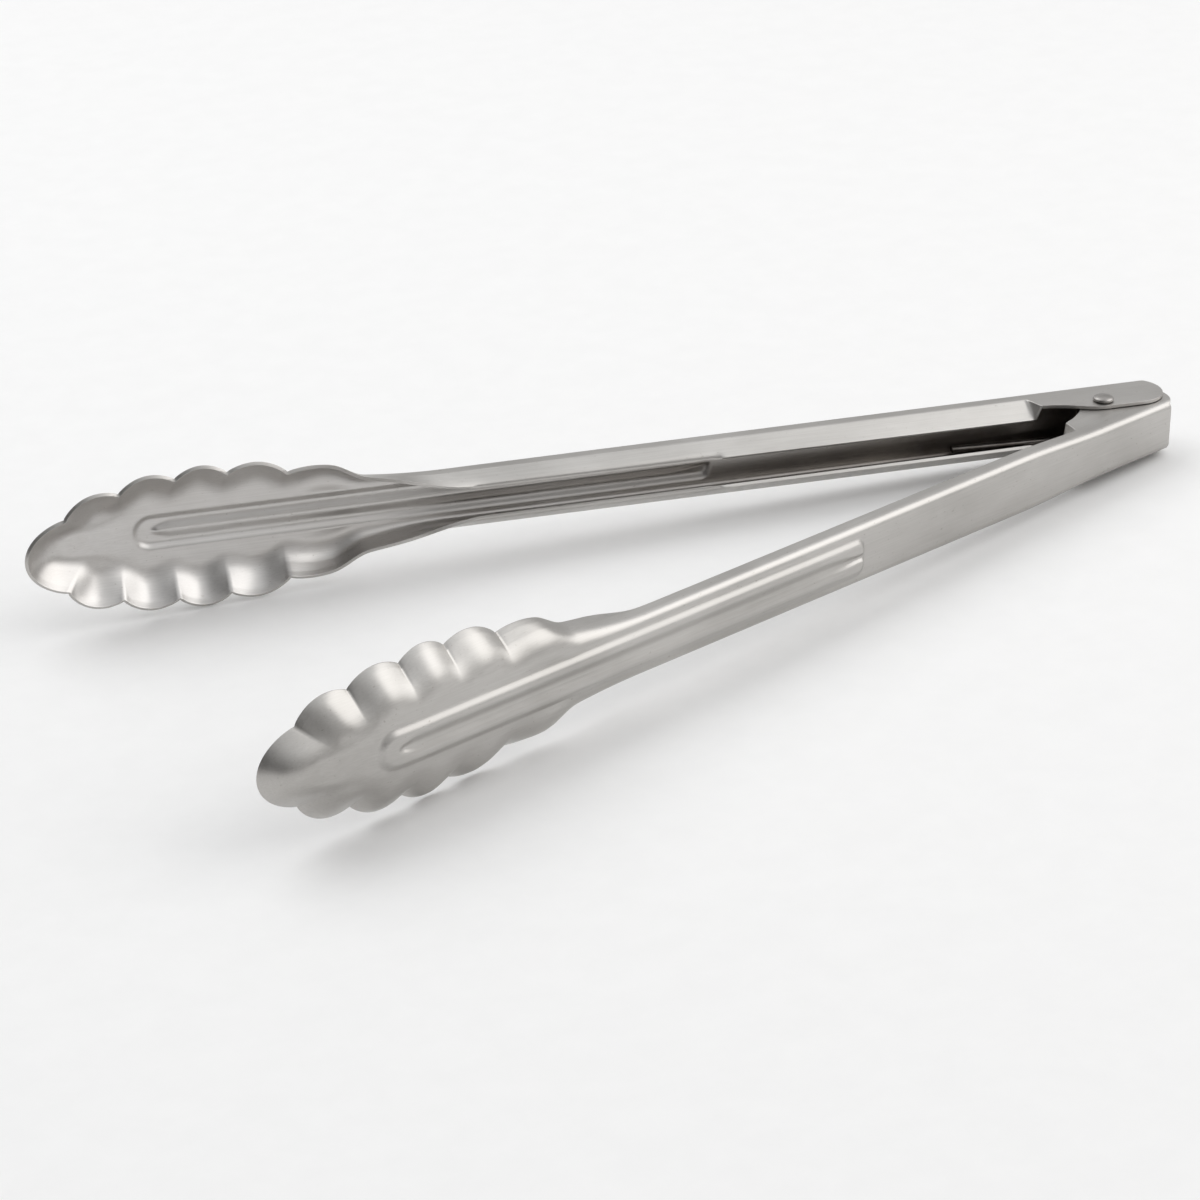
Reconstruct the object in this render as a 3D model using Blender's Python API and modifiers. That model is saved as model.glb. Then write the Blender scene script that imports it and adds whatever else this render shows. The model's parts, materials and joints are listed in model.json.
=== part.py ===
"""Spring loaded kitchen tongs, 12 inch class, lying on their side and open.

Two pressed stainless arms turn on one rivet. The outer arm's ears lie outside the inner
arm's ears, and a torsion spring between the ears pushes the arms apart.

An arm is described in its own coordinates:
  u  along the arm, 0 on the pivot axis and growing towards the tip
  v  across the arm, 0 on the plane of symmetry
  d  depth from the outer face of the web, growing towards the other arm
"""

import math

import bmesh
import bpy
import numpy as np
from mathutils import Matrix

# ---------------------------------------------------------------- driving sizes (metres)
COLLECTION = "kitchen_tongs"

REACH = 0.2908              # pivot axis to the tip of a head
REST_OPENING = math.radians(25.2)   # angle between the arms with the spring relaxed
SHEET = 0.0009              # sheet of both arms
PIVOT_DEPTH = 0.0116        # outer face of the web to the pivot axis

# handle channel
HINGE_HEIGHT = 0.0163       # outer arm over its flanges at the pivot
NECK_HEIGHT = 0.0155        # both arms over their flanges at the neck
BEND_RADIUS = 0.00215       # outer radius between web and flange
CREASE_DEPTH = 0.0047       # where the flange folds into the lip
LIP_ANGLE = math.radians(39.0)
LIP_AT_HINGE = 0.0066
LIP_AT_NECK = 0.0051
LIP_FULL = 0.1198           # from the tip to where the lip reaches its full width
FOLD_GONE = 0.0938          # from the tip to where the lip is no longer folded in
LIP_GONE = 0.0780           # from the tip to where the lip has become the plain rim

# ears and tail
EAR_DEPTH = 0.0153
EAR_TAIL = 0.0188           # pivot axis to the rounded end of the ear
EAR_ROUND = 0.0079          # radius of that end
WEB_TAIL = 0.0149           # pivot axis to the cut end of the web
NOTCH_U = 0.0170            # pivot axis to the end of the lip
NOTCH_DEPTH = 0.0102        # depth of the ear's edge there
NOTCH_LEAN = 0.0012         # the lip's end leans this much towards the tip
FOLD_RUNOUT = 0.0032        # length over which the fold runs out to the notch
EAR_GAP = 0.0002            # side clearance between inner and outer ears
PINCH_START = 0.012         # inner arm: its flanges are pinched in up to here
PINCH_END = 0.045

# head
HEAD_HALF_WIDTH = 0.0170    # at the creases, where the head is widest
HEAD_WIDEST = 0.0478        # from the tip
HEAD_ROOT = 0.1118          # from the tip to where the neck starts to widen
TIP_BULGE = 0.0018
LOBE_BULGE = 0.0025
LOBE_START = 0.45           # share of a section's width where the lobes begin
LOBE_PUFF = 0.28            # depth of a lobe's pillow as a share of its bulge
CREASES = (0.0890, 0.0678, 0.0523, 0.0389, 0.0245, 0.0104)   # from the tip
RIM_DEPTH_SIDE = 0.0072
RIM_DEPTH_TIP = 0.0095
RIM_RISE_LENGTH = 0.040     # over which the rim rises to the tip
RIM_STUB = 0.0016           # last stretch of the rim, which becomes the lip
RIM_CURL = math.radians(4.0)
BOWL_RADIUS = 0.0090        # between floor and wall of the head
BOWL_ANGLE = math.radians(48.0)
TIP_ANGLE = math.radians(38.0)
SCOOP_LENGTH = 0.040        # from the tip to where the floor starts to rise
SCOOP_RATE = 3.5            # floor depth = rate * distance squared
FAN_START = 0.035           # from the tip: the sections start to fan out
FAN_END = 0.020             # from the tip: end of the spine
SHAPE_START = 0.1128        # from the tip: channel section starts to open
SHAPE_END = 0.0528          # from the tip: fully a bowl section

# long bead pressed outwards along the web, with a groove along its middle
BEAD_HEIGHT = 0.0011
BEAD_CREST = 0.0032         # centre line to the crest on either side of the groove
BEAD_HALF_WIDTH = 0.0056
BEAD_TURN = 0.0288          # from the tip to the crest round the bead's far end
BEAD_END = 0.1075           # pivot axis to the crest at its blunt end
GROOVE_HALF_WIDTH = 0.0027
GROOVE_SHARE = 0.70         # depth of the groove as a share of the bead's height
GROOVE_ROUND = 0.0050       # length of the groove's round end
GROOVE_PINCH = 0.0120       # over which the groove narrows to the bead's blunt end
END_SLOPE = 1.6             # how much steeper the blunt end is than the flanks

# rivet
PIN_RADIUS = 0.0018
PIN_CLEARANCE = 0.00007     # radial, in all four ears
RIVET_HEAD_RADIUS = 0.0028
RIVET_HEAD_HEIGHT = 0.0013
TAIL_HEAD_RADIUS = 0.0030
TAIL_HEAD_HEIGHT = 0.0011
RIVET_SEAT_GAP = 0.0003

# torsion spring
WIRE_RADIUS = 0.00095
COIL_RADIUS = 0.0060
TURN_GAP = 0.0002           # least gap between turns of the coil
LEG_REACH = 0.0395          # pivot axis to the end of a leg
SPRING_GAP = 0.0003         # wire to ear and wire to web

# ---------------------------------------------------------------- derived sizes
HALF_OPENING = REST_OPENING / 2.0
PINCHED_HEIGHT = HINGE_HEIGHT - 2.0 * (SHEET + EAR_GAP)
WIDEST_U = REACH - HEAD_WIDEST
ROOT_U = REACH - HEAD_ROOT
TIP_ENVELOPE_U = REACH - TIP_BULGE
TURN_U = REACH - BEAD_TURN - BEAD_CREST     # centre of the bead's round end
BEAD_FLANK = BEAD_HALF_WIDTH - BEAD_CREST
COIL_HALF_HEIGHT = PINCHED_HEIGHT / 2.0 - SHEET - SPRING_GAP - WIRE_RADIUS
TURNS_ROOM = 2.0 * COIL_HALF_HEIGHT / (2.0 * WIRE_RADIUS + TURN_GAP)
WHOLE_TURNS = int(TURNS_ROOM - 0.5)     # the last part of a turn is less than half
LEG_OFFSET = PIVOT_DEPTH - SHEET - SPRING_GAP - WIRE_RADIUS
LOWEST_LOBE = HEAD_HALF_WIDTH + LOBE_BULGE
LOWEST_RIVET = HINGE_HEIGHT / 2.0 + RIVET_SEAT_GAP + TAIL_HEAD_HEIGHT
LEVEL_TILT = math.atan2(LOWEST_LOBE - LOWEST_RIVET, WIDEST_U * math.cos(HALF_OPENING))

# mesh density
BEND_STEPS = 3
WALL_STEPS = 3
LIP_STEPS = 1
ROWS_PER_LOBE = 6
ROWS_AT_TURN = 11
ROWS_AT_TIP = 5
PIN_SIDES = 32


def smooth(x):
    x = min(max(x, 0.0), 1.0)
    return x * x * (3.0 - 2.0 * x)


def mix(a, b, t):
    return a + (b - a) * t


# ---------------------------------------------------------------- outline of the head
def envelope_points(count=400):
    """Line through the creases of one side, from the neck's root to the tip."""
    points = []
    for i in range(count + 1):
        u = mix(ROOT_U, WIDEST_U, i / count)
        t = smooth((u - ROOT_U) / (WIDEST_U - ROOT_U))
        points.append((u, mix(NECK_HEIGHT / 2.0, HEAD_HALF_WIDTH, t)))
    for i in range(1, count + 1):
        angle = 0.5 * math.pi * i / count
        u = mix(WIDEST_U, TIP_ENVELOPE_U, math.sin(angle) ** (2.0 / 2.1))
        points.append((u, HEAD_HALF_WIDTH * max(math.cos(angle), 0.0)))
    return np.array(points)


ENVELOPE = envelope_points()
STEPS = np.hypot(*np.diff(ENVELOPE, axis=0).T)
ARC = np.concatenate([[0.0], np.cumsum(STEPS)])


def on_envelope(arc):
    """Point and outward direction at an arc length along the envelope."""
    u = float(np.interp(arc, ARC, ENVELOPE[:, 0]))
    v = float(np.interp(arc, ARC, ENVELOPE[:, 1]))
    if arc >= ARC[-1] - 1e-7:
        return (u, 0.0), (1.0, 0.0)
    h = 0.0002
    du = np.interp(arc + h, ARC, ENVELOPE[:, 0]) - np.interp(arc - h, ARC, ENVELOPE[:, 0])
    dv = np.interp(arc + h, ARC, ENVELOPE[:, 1]) - np.interp(arc - h, ARC, ENVELOPE[:, 1])
    n = math.hypot(du, dv)
    return (u, v), (-float(dv) / n, float(du) / n)


def spine_start(u):
    """Where the section that ends at u on the envelope starts on the centre line."""
    first = REACH - FAN_START
    last = REACH - FAN_END
    if u <= first:
        return u
    power = (TIP_ENVELOPE_U - first) / (last - first)
    left = max(1.0 - (u - first) / (TIP_ENVELOPE_U - first), 0.0)
    return first + (last - first) * (1.0 - left ** power)


def floor_depth(u):
    return SCOOP_RATE * max(u - (REACH - SCOOP_LENGTH), 0.0) ** 2


def bead_height(u, v):
    """Height of the bead above the outer face of the web."""
    if u > TURN_U:
        off = math.hypot(u - TURN_U, v)
    else:
        behind = max(END_SLOPE * (BEAD_END - u) + BEAD_CREST, 0.0)
        off = (abs(v) ** 3 + behind ** 3) ** (1.0 / 3.0)
    flank = smooth((off - BEAD_CREST) / BEAD_FLANK)
    ahead = min(max((TURN_U - u) / GROOVE_ROUND, 0.0), 1.0)
    pinch = mix(0.5, 1.0, smooth((u - BEAD_END) / GROOVE_PINCH))
    half = GROOVE_HALF_WIDTH * pinch * math.sqrt(ahead)
    groove = 1.0 - smooth(abs(v) / half) if half else 0.0
    return BEAD_HEIGHT * (1.0 - flank) * (1.0 - GROOVE_SHARE * smooth(3.0 * ahead) * groove)


# ---------------------------------------------------------------- sections of an arm
def arm_height(u, pinched):
    """Over the flanges at u."""
    full = mix(HINGE_HEIGHT, NECK_HEIGHT, min(max(u, 0.0) / ROOT_U, 1.0))
    if not pinched:
        return full
    return mix(PINCHED_HEIGHT, full, smooth((u - PINCH_START) / (PINCH_END - PINCH_START)))


def shape_values(u):
    """Wall angle and bend radius, which change from channel to bowl."""
    t = smooth((u - (REACH - SHAPE_START)) / (SHAPE_START - SHAPE_END))
    angle = mix(0.5 * math.pi, BOWL_ANGLE, t)
    rise = smooth((u - (REACH - SCOOP_LENGTH)) / SCOOP_LENGTH)
    return mix(angle, TIP_ANGLE, rise), mix(BEND_RADIUS, BOWL_RADIUS, t)


def lip_values(u):
    """Lip length and fold angle at u."""
    past = u - (REACH - LIP_FULL)
    if past >= 0.0:
        taper = smooth(past / (LIP_FULL - LIP_GONE))
        fold = smooth(past / (LIP_FULL - FOLD_GONE))
        return mix(LIP_AT_NECK, RIM_STUB, taper), mix(LIP_ANGLE, RIM_CURL, fold)
    return mix(LIP_AT_HINGE, LIP_AT_NECK, max(u, 0.0) / (REACH - LIP_FULL)), LIP_ANGLE


def floor_columns(u, flat):
    """Distances from the centre line: on the bead's crest and flank, even beyond it."""
    t = smooth((u - TURN_U) / 0.012)
    fit = min(1.0, 0.97 * flat / BEAD_HALF_WIDTH)
    on_bead = (0.4 * BEAD_CREST, 0.75 * BEAD_CREST, BEAD_CREST,
               BEAD_CREST + 0.5 * BEAD_FLANK, BEAD_HALF_WIDTH)
    columns = [0.0]
    for i, v in enumerate(on_bead):
        columns.append(mix(fit * v, flat * (i + 1) / 6.0, t))
    return columns + [flat]


def section(start, end, outward, depth, cusp=0.0, swell=0.0, run_out=0.0, lean=0.0):
    """Points of one half section, from the centre line to the rim.

    A lobe's bulge is cusp at the rim and swell further in, where it has no hard creases.
    """
    length = math.hypot(end[0] - start, end[1])
    along = ((end[0] - start) / length, end[1] / length)
    base = floor_depth(end[0])
    angle, radius = shape_values(end[0])
    rise = depth - base - radius * (1.0 - math.cos(angle))
    wall = rise / math.sin(angle)
    flat = length - radius * math.sin(angle) - wall * math.cos(angle)
    wall -= RIM_STUB
    lip, fold = lip_values(end[0])

    path = [(rho, 0.0) for rho in floor_columns(start, flat)]
    for i in range(1, BEND_STEPS + 1):
        a = angle * i / BEND_STEPS
        path.append((flat + radius * math.sin(a), radius * (1.0 - math.cos(a))))
    crease = (path[-1][0] + wall * math.cos(angle), path[-1][1] + wall * math.sin(angle))
    rim_angle = angle + fold
    rim = (crease[0] + lip * math.cos(rim_angle), crease[1] + lip * math.sin(rim_angle))
    crease = (crease[0], crease[1] + run_out)
    bend_end = path[-1]
    for i in range(1, WALL_STEPS + 1):
        t = i / WALL_STEPS
        path.append((mix(bend_end[0], crease[0], t), mix(bend_end[1], crease[1], t)))
    crease_index = len(path) - 1
    for i in range(1, LIP_STEPS + 1):
        t = i / LIP_STEPS
        path.append((mix(crease[0], rim[0], t), mix(crease[1], rim[1], t)))

    total = path[-1][0]
    points = []
    for index, (rho, rise) in enumerate(path):
        s = min(max((rho / total - LOBE_START) / (1.0 - LOBE_START), 0.0), 1.0)
        out = mix(swell, cusp, s) * smooth(s)
        puff = LOBE_PUFF * swell * 4.0 * s * (1.0 - s)
        u = start + rho * along[0] + out * outward[0]
        v = rho * along[1] + out * outward[1]
        if index > crease_index:
            u += lean * (index - crease_index) / LIP_STEPS
        d = floor_depth(u) + rise - bead_height(u, v) - puff
        points.append((u, v, d))
    return points


def ear_section(u, pinched):
    """Half section of the ears, which have no lip."""
    half = arm_height(u, pinched) / 2.0
    flat = half - BEND_RADIUS
    points = [(u, v, 0.0) for v in floor_columns(u, flat)]
    for i in range(1, BEND_STEPS + 1):
        a = 0.5 * math.pi * i / BEND_STEPS
        points.append((u, flat + BEND_RADIUS * math.sin(a),
                       BEND_RADIUS * (1.0 - math.cos(a))))
    for i in range(1, WALL_STEPS + 1):
        depth = mix(BEND_RADIUS, EAR_DEPTH + 0.001, i / WALL_STEPS)
        points.append((u, half, depth))
    return points


def handle_section(u, pinched):
    run = smooth((NOTCH_U + FOLD_RUNOUT - u) / FOLD_RUNOUT) ** 1.5
    run_out = (NOTCH_DEPTH - CREASE_DEPTH) * run
    return section(u, (u, arm_height(u, pinched) / 2.0), (0.0, 1.0),
                   CREASE_DEPTH + RIM_STUB, run_out=run_out, lean=NOTCH_LEAN * run)


def head_section(arc, cusp=0.0, swell=0.0):
    end, outward = on_envelope(arc)
    rise = smooth((end[0] - (REACH - RIM_RISE_LENGTH)) / RIM_RISE_LENGTH)
    root = smooth((end[0] - ROOT_U) / (WIDEST_U - ROOT_U))
    side = mix(CREASE_DEPTH + RIM_STUB, RIM_DEPTH_SIDE, root)
    depth = mix(side, RIM_DEPTH_TIP, rise)
    return section(spine_start(end[0]), end, outward, depth, cusp, swell)


def arm_rows(pinched):
    """All half sections, ears first. Ear rows are shorter than the others."""
    rows = []
    for u in (-0.020, -0.010, 0.0, 0.008, NOTCH_U - 0.0005):
        rows.append(ear_section(u, pinched))
    stations = [NOTCH_U + FOLD_RUNOUT * t for t in (0.0, 0.2, 0.45, 0.7, 1.0)]
    stations += [0.035, PINCH_END, 0.075]
    stations += [BEAD_END + BEAD_FLANK * t for t in (-0.62, -0.31, 0.0, 0.8, 2.0)]
    stations += [mix(BEAD_END, REACH - LIP_FULL, 0.5)]
    stations += [mix(REACH - LIP_FULL, ROOT_U, t) for t in (0.0, 0.5)]
    for u in stations:
        rows.append(handle_section(u, pinched))
    crease_arcs = [float(np.interp(REACH - c, ENVELOPE[:, 0], ARC)) for c in CREASES]
    for i in range(6):
        rows.append(head_section(crease_arcs[0] * i / 6.0))
    for k in range(len(CREASES) - 1):
        count = ROWS_AT_TURN if CREASES[k] > BEAD_TURN > CREASES[k + 1] else ROWS_PER_LOBE
        for i in range(count):
            t = 0.5 * (1.0 - math.cos(math.pi * i / count))
            arc = mix(crease_arcs[k], crease_arcs[k + 1], mix(i / count, t, 0.5))
            phase = (arc - crease_arcs[k]) / (crease_arcs[k + 1] - crease_arcs[k])
            wave = math.sin(math.pi * phase)
            cusp = wave ** (2.0 if k == 0 and phase < 0.5 else 0.8)
            rows.append(head_section(arc, LOBE_BULGE * cusp, LOBE_BULGE * wave ** 2))
    for i in range(ROWS_AT_TIP + 1):
        arc = mix(crease_arcs[-1], float(ARC[-1]), i / ROWS_AT_TIP)
        wave = math.sin(0.5 * math.pi * i / ROWS_AT_TIP)
        rows.append(head_section(arc, TIP_BULGE * wave ** 0.8, TIP_BULGE * wave ** 2))
    return rows


# ---------------------------------------------------------------- scene helpers
def clear_scene():
    for item in list(bpy.data.objects):
        bpy.data.objects.remove(item, do_unlink=True)


def new_collection(name):
    collection = bpy.data.collections.new(name)
    bpy.context.scene.collection.children.link(collection)
    return collection


def metal(name, colour, roughness):
    material = bpy.data.materials.new(name)
    material.use_nodes = True
    shader = material.node_tree.nodes["Principled BSDF"]
    shader.inputs["Base Color"].default_value = (*colour, 1.0)
    shader.inputs["Metallic"].default_value = 1.0
    shader.inputs["Roughness"].default_value = roughness
    return material


def add_object(name, data, collection, parent, material=None):
    item = bpy.data.objects.new(name, data)
    collection.objects.link(item)
    item.parent = parent
    if material:
        data.materials.append(material)
    return item


def add_empty(name, collection, parent, rotation=(0.0, 0.0, 0.0)):
    item = add_object(name, None, collection, parent)
    item.rotation_euler = rotation
    return item


def add_cutter(target, cutter):
    cutter.hide_render = True
    cutter.display_type = "WIRE"
    modifier = target.modifiers.new(cutter.name, "BOOLEAN")
    modifier.operation = "DIFFERENCE"
    modifier.solver = "EXACT"
    modifier.object = cutter


def prism(name, outline, half_height, collection, parent):
    """Closed flat outline in X and Y, extruded both ways along Z."""
    curve = bpy.data.curves.new(name, "CURVE")
    curve.dimensions = "2D"
    curve.fill_mode = "BOTH"
    curve.extrude = half_height
    spline = curve.splines.new("POLY")
    spline.points.add(len(outline) - 1)
    for point, (x, y) in zip(spline.points, outline):
        point.co = (x, y, 0.0, 1.0)
    spline.use_cyclic_u = True
    source = add_object(name + "_outline", curve, collection, None)
    bpy.context.view_layer.update()
    evaluated = source.evaluated_get(bpy.context.evaluated_depsgraph_get())
    mesh = bpy.data.meshes.new_from_object(evaluated)
    bpy.data.objects.remove(source, do_unlink=True)
    work = bmesh.new()
    work.from_mesh(mesh)
    bmesh.ops.remove_doubles(work, verts=work.verts, dist=0.000001)
    bmesh.ops.recalc_face_normals(work, faces=work.faces)
    work.to_mesh(mesh)
    work.free()
    return add_object(name, mesh, collection, parent)


def cylinder(name, radius, depth, collection, parent):
    mesh = bpy.data.meshes.new(name)
    work = bmesh.new()
    bmesh.ops.create_cone(work, cap_ends=True, segments=PIN_SIDES,
                          radius1=radius, radius2=radius, depth=depth)
    work.to_mesh(mesh)
    work.free()
    return add_object(name, mesh, collection, parent)


# ---------------------------------------------------------------- pieces
def tail_outline(side):
    """Everything beyond the ears' edge, in the arm's own X and Y."""
    steps = 14
    edge = [(NOTCH_U + 0.00005, EAR_DEPTH + 0.004)]
    for i in range(steps + 1):
        u = NOTCH_U * (1.0 - i / steps) + 0.00005
        fall = 0.5 * (1.0 - math.cos(math.pi * min(u / NOTCH_U, 1.0)))
        edge.append((u, mix(EAR_DEPTH, NOTCH_DEPTH + 0.00005, fall)))
    centre_u = EAR_ROUND - EAR_TAIL
    centre_d = EAR_DEPTH - EAR_ROUND
    last = math.asin((centre_u + WEB_TAIL) / EAR_ROUND)
    for i in range(2 * steps + 1):
        a = (math.pi - last) * i / (2 * steps)
        edge.append((centre_u - EAR_ROUND * math.sin(a), centre_d + EAR_ROUND * math.cos(a)))
    edge += [(-WEB_TAIL, -0.004), (-0.026, -0.004), (-0.026, EAR_DEPTH + 0.004)]
    return [(-u, side * (PIVOT_DEPTH - d)) for u, d in edge]


def make_arm(name, side, collection, cutters, parent, material):
    """side is +1 for the outer arm and -1 for the inner arm, whose ears are pinched in."""
    rows = arm_rows(pinched=side < 0)
    mesh = bpy.data.meshes.new(name)
    work = bmesh.new()
    grid = [[work.verts.new((-u, side * (PIVOT_DEPTH - d), v)) for u, v, d in row]
            for row in rows]
    for near, far in zip(grid, grid[1:]):
        for j in range(min(len(near), len(far)) - 1):
            corners = (near[j], near[j + 1], far[j + 1], far[j])
            work.faces.new(corners if side < 0 else corners[::-1])
    work.to_mesh(mesh)
    work.free()
    mesh.shade_smooth()
    mesh.set_sharp_from_angle(angle=math.radians(35.0))

    arm = add_object(name, mesh, collection, parent, material)
    mirror = arm.modifiers.new("other_half", "MIRROR")
    mirror.use_axis = (False, False, True)
    mirror.use_clip = False
    mirror.merge_threshold = 0.00001
    sheet = arm.modifiers.new("sheet", "SOLIDIFY")
    sheet.thickness = SHEET
    sheet.offset = -1.0
    add_cutter(arm, prism(name + "_tail_cut", tail_outline(side), HINGE_HEIGHT,
                          cutters, parent))
    add_cutter(arm, cylinder(name + "_pin_hole", PIN_RADIUS + PIN_CLEARANCE,
                             2.0 * HINGE_HEIGHT, cutters, parent))
    return arm


def make_rivet(name, collection, parent, material):
    """Turned profile, run from top to bottom on the outside."""
    top = HINGE_HEIGHT / 2.0 + RIVET_SEAT_GAP
    profile = []
    for i in range(6):
        a = 0.5 * math.pi * i / 5
        profile.append((RIVET_HEAD_RADIUS * math.sin(a) ** 0.45,
                        top + RIVET_HEAD_HEIGHT * (0.35 + 0.65 * math.cos(a))))
    profile.append((RIVET_HEAD_RADIUS, top))
    profile.append((PIN_RADIUS, top))
    profile.append((PIN_RADIUS, -top))
    profile.append((TAIL_HEAD_RADIUS, -top))
    for i in range(5, -1, -1):
        a = 0.5 * math.pi * i / 5
        profile.append((TAIL_HEAD_RADIUS * math.sin(a) ** 0.45,
                        -top - TAIL_HEAD_HEIGHT * (0.35 + 0.65 * math.cos(a))))
    mesh = bpy.data.meshes.new(name)
    work = bmesh.new()
    ring = [work.verts.new((x, 0.0, z)) for x, z in profile]
    for a, b in zip(ring, ring[1:]):
        work.edges.new((a, b))
    work.to_mesh(mesh)
    work.free()
    rivet = add_object(name, mesh, collection, parent, material)
    turn = rivet.modifiers.new("turned", "SCREW")
    turn.steps = PIN_SIDES
    turn.render_steps = PIN_SIDES
    turn.use_merge_vertices = True
    turn.merge_threshold = 0.00001
    turn.use_smooth_shade = True
    return rivet


def leg_slope():
    """Angle that brings a leg from the coil to the web at its end."""
    slope = 0.0
    for _ in range(30):
        slope = math.atan((LEG_OFFSET - COIL_RADIUS / math.cos(slope)) / LEG_REACH)
    return slope


def spring_path():
    """Centre line from the outer arm's leg through the coil to the inner arm's leg."""
    slope = leg_slope()
    first = 0.5 * math.pi - slope - HALF_OPENING
    sweep = math.pi - 2.0 * slope - REST_OPENING + 2.0 * math.pi * WHOLE_TURNS
    leg = (LEG_REACH + COIL_RADIUS * math.sin(slope)) / math.cos(slope)
    steps = 20 * WHOLE_TURNS + 8
    coil = []
    for i in range(steps + 1):
        a = first - sweep * i / steps
        z = COIL_HALF_HEIGHT * (2.0 * i / steps - 1.0)
        coil.append((COIL_RADIUS * math.cos(a), COIL_RADIUS * math.sin(a), z))
    lower = []
    upper = []
    for t in (1.0, 0.66, 0.33, 0.1):
        x = coil[0][0] - leg * t * math.cos(slope + HALF_OPENING)
        y = coil[0][1] + leg * t * math.sin(slope + HALF_OPENING)
        lower.append((x, y, -COIL_HALF_HEIGHT))
        upper.append((x, -y, COIL_HALF_HEIGHT))
    return lower + coil + upper[::-1]


def make_spring(name, collection, parent, material):
    curve = bpy.data.curves.new(name, "CURVE")
    curve.dimensions = "3D"
    curve.bevel_depth = WIRE_RADIUS
    curve.bevel_resolution = 2
    curve.use_fill_caps = True
    path = spring_path()
    spline = curve.splines.new("POLY")
    spline.points.add(len(path) - 1)
    for point, co in zip(spline.points, path):
        point.co = (*co, 1.0)
    return add_object(name, curve, collection, parent, material)


def lowest_and_centre(items):
    """World bounding box of the evaluated pieces: centre in X and Y, lowest Z."""
    bpy.context.view_layer.update()
    graph = bpy.context.evaluated_depsgraph_get()
    corners = []
    for item in items:
        evaluated = item.evaluated_get(graph)
        mesh = evaluated.to_mesh()
        corners += [item.matrix_world @ vertex.co for vertex in mesh.vertices]
        evaluated.to_mesh_clear()
    low = [min(c[i] for c in corners) for i in range(3)]
    high = [max(c[i] for c in corners) for i in range(3)]
    return (low[0] + high[0]) / 2.0, (low[1] + high[1]) / 2.0, low[2]


def build():
    clear_scene()
    parts = new_collection(COLLECTION)
    cutters = new_collection("cutters")
    steel = metal("brushed_stainless", (0.60, 0.59, 0.57), 0.34)
    inner_steel = metal("brushed_stainless_inner", (0.60, 0.59, 0.57), 0.34)
    rivet_steel = metal("rivet_steel", (0.50, 0.48, 0.46), 0.40)
    spring_steel = metal("spring_steel", (0.34, 0.32, 0.30), 0.42)

    root = add_empty("tongs_root", parts, None, (0.0, LEVEL_TILT, 0.0))
    outer_axis = add_empty("outer_arm_axis", parts, root, (0.0, 0.0, -HALF_OPENING))
    inner_axis = add_empty("arm_hinge_axis", parts, root, (0.0, 0.0, HALF_OPENING))

    pieces = [
        make_arm("outer_arm", 1, parts, cutters, outer_axis, steel),
        make_arm("inner_arm", -1, parts, cutters, inner_axis, inner_steel),
        make_rivet("pivot_rivet", parts, root, rivet_steel),
        make_spring("torsion_spring", parts, root, spring_steel),
    ]
    x, y, z = lowest_and_centre(pieces)
    root.location = (-x, -y, -z)
    bpy.context.view_layer.update()
    return root


if __name__ == "__main__":
    build()
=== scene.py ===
"""Looks of the spring loaded kitchen tongs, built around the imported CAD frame.

An arm is described in its own coordinates, as in the CAD source:
  u  along the arm, 0 on the pivot axis and growing towards the tip
  v  across the arm, 0 on the plane of symmetry
  d  depth from the outer face of the web, growing towards the other arm
"""

import json
import math

import bmesh
import bpy
import numpy as np
from mathutils import Matrix, Vector


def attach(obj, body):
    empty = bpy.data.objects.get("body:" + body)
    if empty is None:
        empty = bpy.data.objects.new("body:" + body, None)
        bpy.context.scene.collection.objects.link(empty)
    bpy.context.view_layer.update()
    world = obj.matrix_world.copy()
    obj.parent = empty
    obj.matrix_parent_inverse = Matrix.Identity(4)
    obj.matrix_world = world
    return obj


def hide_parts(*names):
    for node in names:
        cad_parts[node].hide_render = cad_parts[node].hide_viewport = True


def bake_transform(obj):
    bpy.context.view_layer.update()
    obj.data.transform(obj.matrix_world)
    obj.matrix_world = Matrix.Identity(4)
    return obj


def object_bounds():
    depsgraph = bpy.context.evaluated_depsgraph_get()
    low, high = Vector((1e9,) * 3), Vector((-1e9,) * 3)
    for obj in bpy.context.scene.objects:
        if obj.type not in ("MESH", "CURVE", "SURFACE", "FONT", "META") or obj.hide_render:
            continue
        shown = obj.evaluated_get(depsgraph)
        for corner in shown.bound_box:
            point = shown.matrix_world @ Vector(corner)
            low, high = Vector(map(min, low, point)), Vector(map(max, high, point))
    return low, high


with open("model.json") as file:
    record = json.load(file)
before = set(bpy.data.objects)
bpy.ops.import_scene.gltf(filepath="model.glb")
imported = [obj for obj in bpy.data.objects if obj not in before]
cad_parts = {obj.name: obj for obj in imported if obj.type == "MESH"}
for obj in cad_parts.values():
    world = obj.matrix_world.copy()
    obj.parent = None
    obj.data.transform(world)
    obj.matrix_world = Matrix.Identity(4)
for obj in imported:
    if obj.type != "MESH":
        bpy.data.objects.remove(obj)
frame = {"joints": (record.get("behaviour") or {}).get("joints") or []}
cad_low, cad_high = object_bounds()

# ---------------------------------------------------------------- sizes (metres)
REACH = 0.2908
HALF_OPENING = math.radians(12.6)
SHEET = 0.0009
PIVOT_DEPTH = 0.0116

HINGE_HEIGHT = 0.0163
NECK_HEIGHT = 0.0155
BEND_RADIUS = 0.00215
CREASE_DEPTH = 0.0047
CREASE_RADIUS = 0.0010
LIP_ANGLE = math.radians(39.0)
LIP_AT_HINGE = 0.0066
LIP_AT_NECK = 0.0051
LIP_FULL = 0.1198
FOLD_GONE = 0.0938
LIP_GONE = 0.0780

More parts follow.
